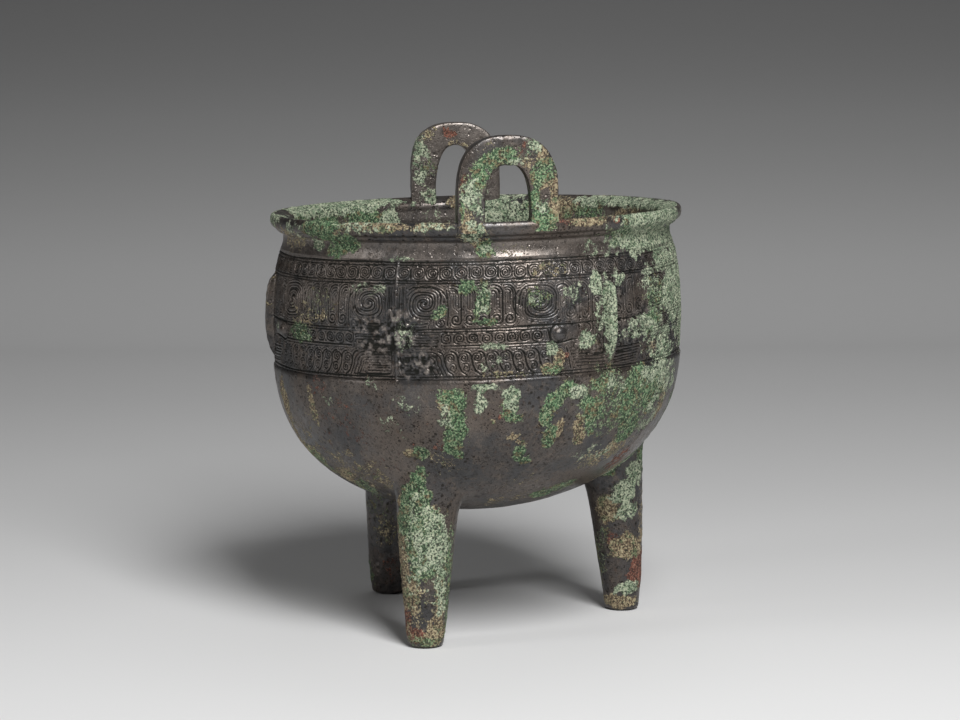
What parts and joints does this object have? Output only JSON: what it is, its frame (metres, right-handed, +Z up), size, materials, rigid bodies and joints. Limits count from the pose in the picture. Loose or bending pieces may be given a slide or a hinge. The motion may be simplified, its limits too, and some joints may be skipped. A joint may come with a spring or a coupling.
{
  "type": "ding vessel",
  "caption": "Round footed vessel with an open bowl, a thick everted lip, upright loop handles and a band of raised scroll ornament.",
  "frame": {"origin": "on the bowl's axis, level with the undersides of the feet", "axes": "+Z up; the loop handles stand on the X axis and one leg stands on -Y"},
  "size_m": [0.1702, 0.1732, 0.2052],
  "materials": {
    "patinated_bronze": "dark brown-grey bronze with green corrosion in patches"
  },
  "bodies": {
    "root": {"ding_vessel": "patinated_bronze"}
  },
  "joints": []
}
